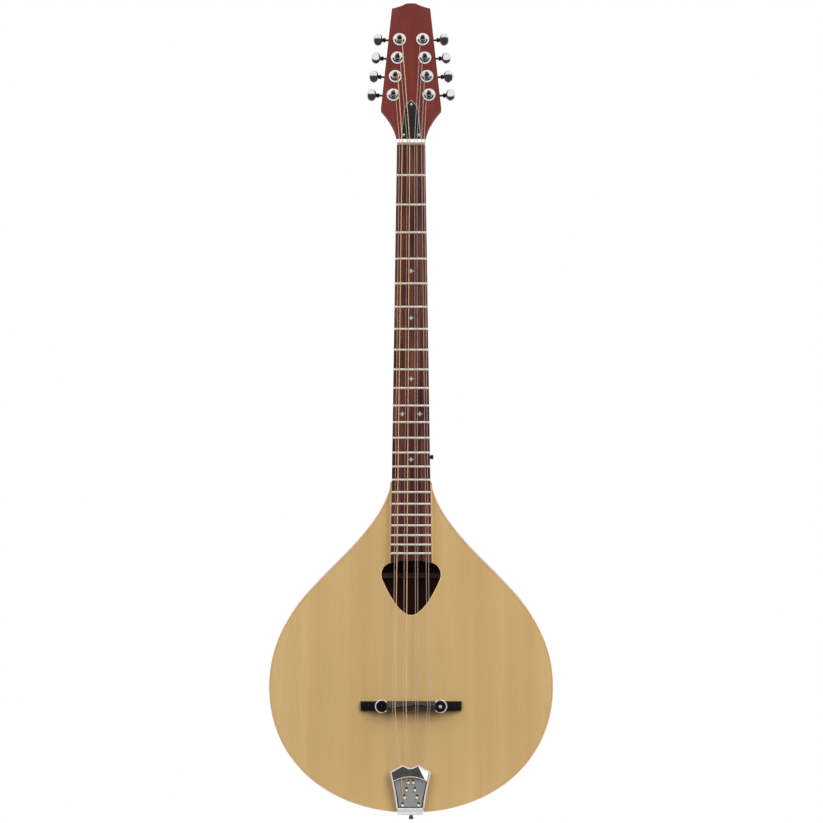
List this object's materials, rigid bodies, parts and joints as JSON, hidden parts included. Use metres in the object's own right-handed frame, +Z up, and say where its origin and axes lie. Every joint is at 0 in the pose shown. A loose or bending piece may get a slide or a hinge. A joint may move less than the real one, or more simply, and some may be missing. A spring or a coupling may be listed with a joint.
{
  "type": "bouzouki",
  "caption": "Flat-backed, teardrop-bodied long-necked lute with paired steel strings, geared tuners, a screw-adjustable bridge saddle and a tailpiece.",
  "frame": {"origin": "middle of the zero fret at the fretboard's surface, on the centre plane, which is also where a wall hanger's yoke holds the neck under the headstock", "axes": "+Z up along the body and neck towards the headstock, -Y is the way the soundboard faces, +X is the treble side"},
  "size_m": [0.3404, 0.1075, 0.9854],
  "materials": {
    "spruce": "satin lacquer",
    "mahogany": "satin lacquer",
    "lining_wood": "bare",
    "rosewood": "oiled",
    "ebony": "satin",
    "bone": "polished",
    "steel": "polished",
    "black_plastic": "gloss",
    "chrome": "polished",
    "bronze_wire": "wound",
    "steel_wire": "bright"
  },
  "bodies": {
    "instrument": {"soundboard": "spruce", "tone_bar_bass": "spruce", "tone_bar_treble": "spruce", "back_brace_upper": "spruce", "back_brace_lower": "spruce", "back_plate": "mahogany", "rim": "mahogany", "neck": "mahogany", "headstock_veneer": "mahogany", "top_lining": "lining_wood", "back_lining": "lining_wood", "neck_block": "lining_wood", "tail_block": "lining_wood", "fretboard_riser": "lining_wood", "fretboard": "rosewood", "bridge_base": "ebony", "nut": "bone", "frets": "steel", "zero_fret": "steel", "truss_rod": "steel", "truss_rod_cover": "black_plastic", "tailpiece": "chrome", "end_pin": "chrome", "strap_button": "chrome", "tuner_housing_bass_1": "chrome", "tuner_housing_treble_1": "chrome", "tuner_housing_bass_2": "chrome", "tuner_housing_treble_2": "chrome", "tuner_housing_bass_3": "chrome", "tuner_housing_treble_3": "chrome", "tuner_housing_bass_4": "chrome", "tuner_housing_treble_4": "chrome", "string_1": "steel_wire", "string_2": "bronze_wire", "string_3": "steel_wire", "string_4": "bronze_wire", "string_5": "steel_wire", "string_6": "steel_wire", "string_7": "steel_wire", "string_8": "steel_wire"},
    "post_bass_1": {"tuner_post_bass_1": "chrome"},
    "knob_bass_1": {"tuner_knob_bass_1": "chrome"},
    "post_treble_1": {"tuner_post_treble_1": "chrome"},
    "knob_treble_1": {"tuner_knob_treble_1": "chrome"},
    "post_bass_2": {"tuner_post_bass_2": "chrome"},
    "knob_bass_2": {"tuner_knob_bass_2": "chrome"},
    "post_treble_2": {"tuner_post_treble_2": "chrome"},
    "knob_treble_2": {"tuner_knob_treble_2": "chrome"},
    "post_bass_3": {"tuner_post_bass_3": "chrome"},
    "knob_bass_3": {"tuner_knob_bass_3": "chrome"},
    "post_treble_3": {"tuner_post_treble_3": "chrome"},
    "knob_treble_3": {"tuner_knob_treble_3": "chrome"},
    "post_bass_4": {"tuner_post_bass_4": "chrome"},
    "knob_bass_4": {"tuner_knob_bass_4": "chrome"},
    "post_treble_4": {"tuner_post_treble_4": "chrome"},
    "knob_treble_4": {"tuner_knob_treble_4": "chrome"},
    "saddle": {"bridge_saddle": "ebony"},
    "thumbwheel_bass": {"thumbwheel_bass": "chrome"},
    "thumbwheel_treble": {"thumbwheel_treble": "chrome"},
    "truss_rod_nut": {"truss_rod_nut": "steel"}
  },
  "joints": [
    {"name": "knob_bass_1", "type": "hinge", "parent": "instrument", "child": "knob_bass_1", "pos_m": [-0.02122, 0.04046, 0.05974], "axis": [-0.9986, 0.0144, 0.0503], "continuous": true},
    {"name": "post_bass_1", "type": "hinge", "parent": "instrument", "child": "post_bass_1", "pos_m": [-0.0215, 0.01978, 0.06017], "axis": [0, -0.9613, 0.2756], "continuous": true},
    {"name": "knob_treble_1", "type": "hinge", "parent": "instrument", "child": "knob_treble_1", "pos_m": [0.02122, 0.04046, 0.05974], "axis": [0.9986, 0.0144, 0.0503], "continuous": true},
    {"name": "post_treble_1", "type": "hinge", "parent": "instrument", "child": "post_treble_1", "pos_m": [0.0215, 0.01978, 0.06017], "axis": [0, -0.9613, 0.2756], "continuous": true},
    {"name": "knob_bass_2", "type": "hinge", "parent": "instrument", "child": "knob_bass_2", "pos_m": [-0.01872, 0.047, 0.08252], "axis": [-0.9986, 0.0144, 0.0503], "continuous": true},
    {"name": "post_bass_2", "type": "hinge", "parent": "instrument", "child": "post_bass_2", "pos_m": [-0.019, 0.02631, 0.08295], "axis": [0, -0.9613, 0.2756], "continuous": true},
    {"name": "knob_treble_2", "type": "hinge", "parent": "instrument", "child": "knob_treble_2", "pos_m": [0.01872, 0.047, 0.08252], "axis": [0.9986, 0.0144, 0.0503], "continuous": true},
    {"name": "post_treble_2", "type": "hinge", "parent": "instrument", "child": "post_treble_2", "pos_m": [0.019, 0.02631, 0.08295], "axis": [0, -0.9613, 0.2756], "continuous": true},
    {"name": "knob_bass_3", "type": "hinge", "parent": "instrument", "child": "knob_bass_3", "pos_m": [-0.01622, 0.0535, 0.10521], "axis": [-0.9986, 0.0144, 0.0503], "continuous": true},
    {"name": "post_bass_3", "type": "hinge", "parent": "instrument", "child": "post_bass_3", "pos_m": [-0.0165, 0.03282, 0.10564], "axis": [0, -0.9613, 0.2756], "continuous": true},
    {"name": "knob_treble_3", "type": "hinge", "parent": "instrument", "child": "knob_treble_3", "pos_m": [0.01622, 0.0535, 0.10521], "axis": [0.9986, 0.0144, 0.0503], "continuous": true},
    {"name": "post_treble_3", "type": "hinge", "parent": "instrument", "child": "post_treble_3", "pos_m": [0.0165, 0.03282, 0.10564], "axis": [0, -0.9613, 0.2756], "continuous": true},
    {"name": "knob_bass_4", "type": "hinge", "parent": "instrument", "child": "knob_bass_4", "pos_m": [-0.01372, 0.06003, 0.12799], "axis": [-0.9986, 0.0144, 0.0503], "continuous": true},
    {"name": "post_bass_4", "type": "hinge", "parent": "instrument", "child": "post_bass_4", "pos_m": [-0.014, 0.03935, 0.12842], "axis": [0, -0.9613, 0.2756], "continuous": true},
    {"name": "knob_treble_4", "type": "hinge", "parent": "instrument", "child": "knob_treble_4", "pos_m": [0.01372, 0.06003, 0.12799], "axis": [0.9986, 0.0144, 0.0503], "continuous": true},
    {"name": "post_treble_4", "type": "hinge", "parent": "instrument", "child": "post_treble_4", "pos_m": [0.014, 0.03935, 0.12842], "axis": [0, -0.9613, 0.2756], "continuous": true},
    {"name": "saddle_height", "type": "slide", "parent": "instrument", "child": "saddle", "axis": [0, -1, 0], "range_m": [-0.001, 0.003], "deforming": ["string_1", "string_2", "string_3", "string_4", "string_5", "string_6", "string_7", "string_8"]},
    {"name": "thumbwheel_bass", "type": "hinge", "parent": "saddle", "child": "thumbwheel_bass", "pos_m": [-0.035, -0.0187, -0.6737], "axis": [0, -1, 0], "range_deg": [-520, 1550]},
    {"name": "thumbwheel_treble", "type": "hinge", "parent": "saddle", "child": "thumbwheel_treble", "pos_m": [0.035, -0.0187, -0.6737], "axis": [0, -1, 0], "range_deg": [-520, 1550]},
    {"name": "truss_rod_nut", "type": "hinge", "parent": "instrument", "child": "truss_rod_nut", "pos_m": [0, 0.01298, 0.01356], "axis": [0, 0.0349, 0.9994], "range_deg": [-180, 180]}
  ],
  "couplings": [
    {"joint": "post_bass_1", "follows": "knob_bass_1", "ratio": 0.071429},
    {"joint": "post_treble_1", "follows": "knob_treble_1", "ratio": 0.071429},
    {"joint": "post_bass_2", "follows": "knob_bass_2", "ratio": 0.071429},
    {"joint": "post_treble_2", "follows": "knob_treble_2", "ratio": 0.071429},
    {"joint": "post_bass_3", "follows": "knob_bass_3", "ratio": 0.071429},
    {"joint": "post_treble_3", "follows": "knob_treble_3", "ratio": 0.071429},
    {"joint": "post_bass_4", "follows": "knob_bass_4", "ratio": 0.071429},
    {"joint": "post_treble_4", "follows": "knob_treble_4", "ratio": 0.071429},
    {"joint": "thumbwheel_bass", "follows": "saddle_height", "rad_per_m": 8976},
    {"joint": "thumbwheel_treble", "follows": "saddle_height", "rad_per_m": 8976}
  ]
}
